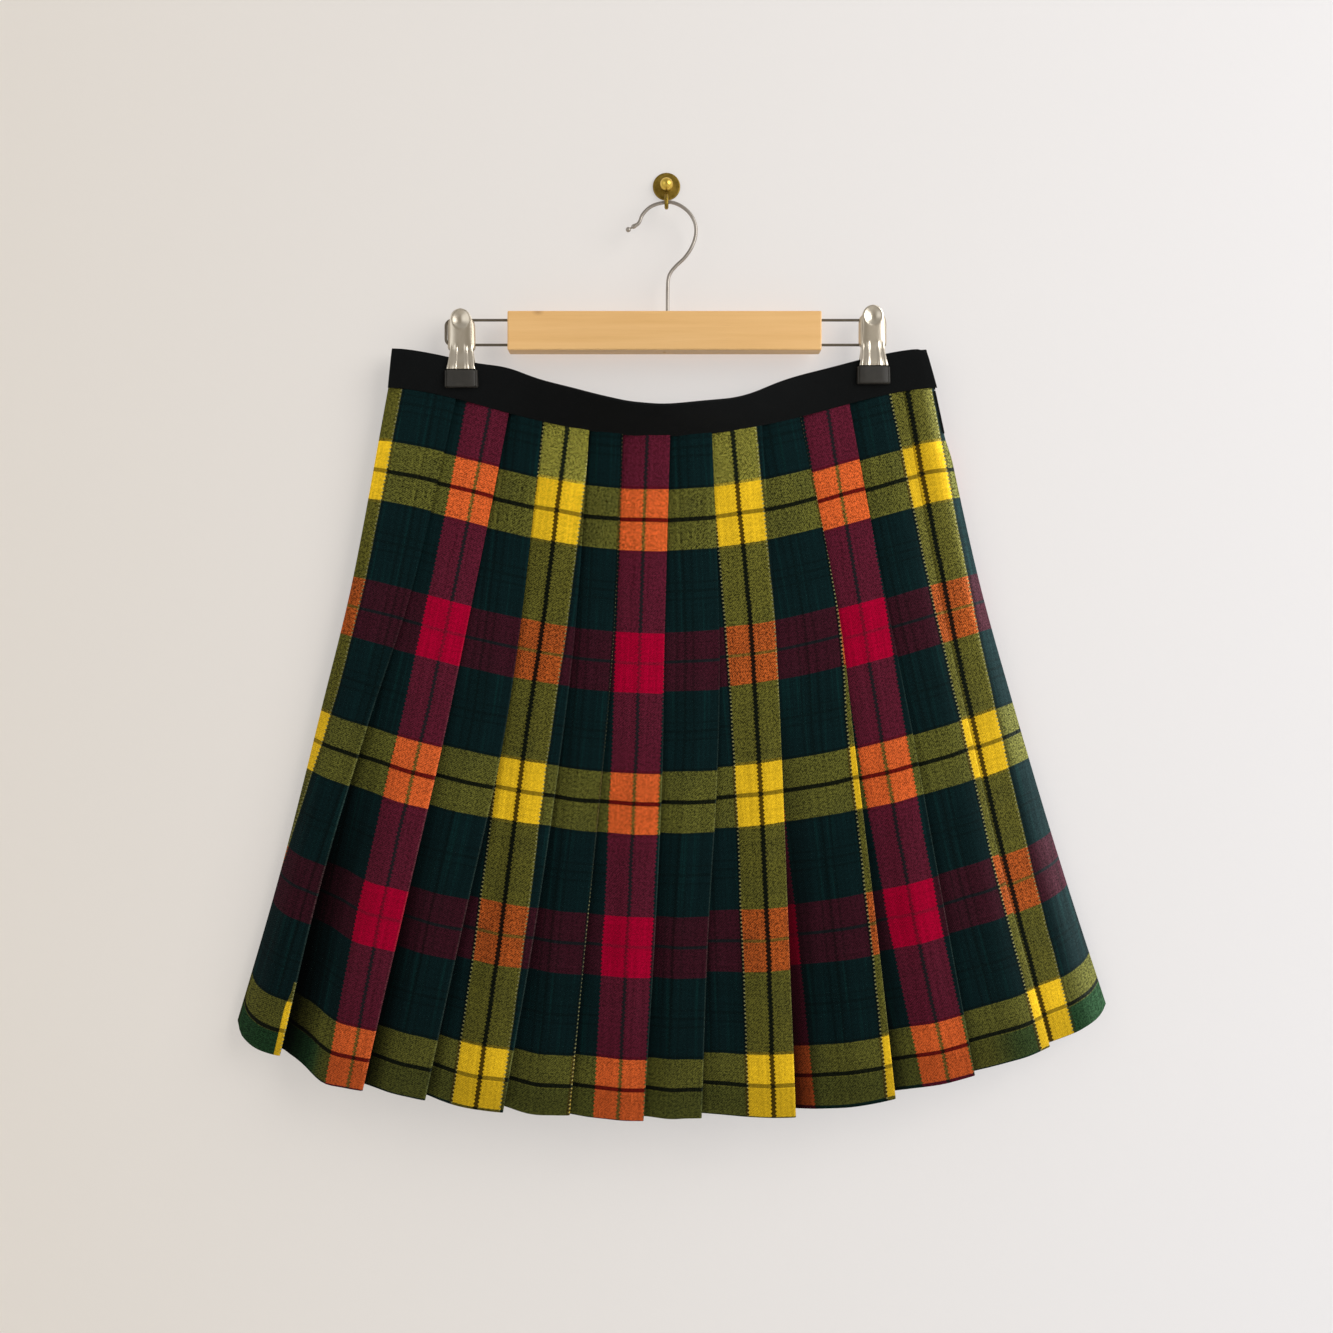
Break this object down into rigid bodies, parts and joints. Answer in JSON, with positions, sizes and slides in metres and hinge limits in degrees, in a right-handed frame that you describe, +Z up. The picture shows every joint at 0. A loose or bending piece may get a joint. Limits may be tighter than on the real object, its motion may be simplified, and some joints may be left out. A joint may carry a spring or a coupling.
{
  "type": "pleated plaid skirt on a clip hanger with its wall hook",
  "caption": "Knee-length knife-pleated tartan skirt with a plain black waistband, hanging flat from a wooden clip hanger on a small brass wall hook.",
  "frame": {"origin": "middle of the flat back of the wall hook's round plate, on the wall", "axes": "+X to the viewer's right, +Y into the wall, +Z up"},
  "size_m": [0.5817, 0.058, 0.6216],
  "materials": {
    "plaid_wool": "soft twill weave, bottle green with yellow and magenta stripes",
    "black_cloth": "matt black woven cloth",
    "pale_wood": "satin pale wood with fine grain",
    "steel": "bright plated steel",
    "rubber": "matt dark grey rubber",
    "brass": "aged brass with a polished ball"
  },
  "bodies": {
    "root": {"skirt_front": "plaid_wool", "skirt_back": "plaid_wool", "waistband_front": "black_cloth", "waistband_back": "black_cloth", "side_tape": "black_cloth", "hanger_bar": "pale_wood", "bar_rod_left": "steel", "bar_rod_right": "steel", "hanger_hook": "steel", "knob_plate": "brass", "knob_prong": "brass", "clip_left_front_jaw": "steel", "clip_left_front_pad": "rubber", "clip_left_back_jaw": "steel", "clip_left_back_pad": "rubber", "clip_left_spring": "steel", "clip_right_front_jaw": "steel", "clip_right_front_pad": "rubber", "clip_right_back_jaw": "steel", "clip_right_back_pad": "rubber", "clip_right_spring": "steel"}
  },
  "joints": []
}
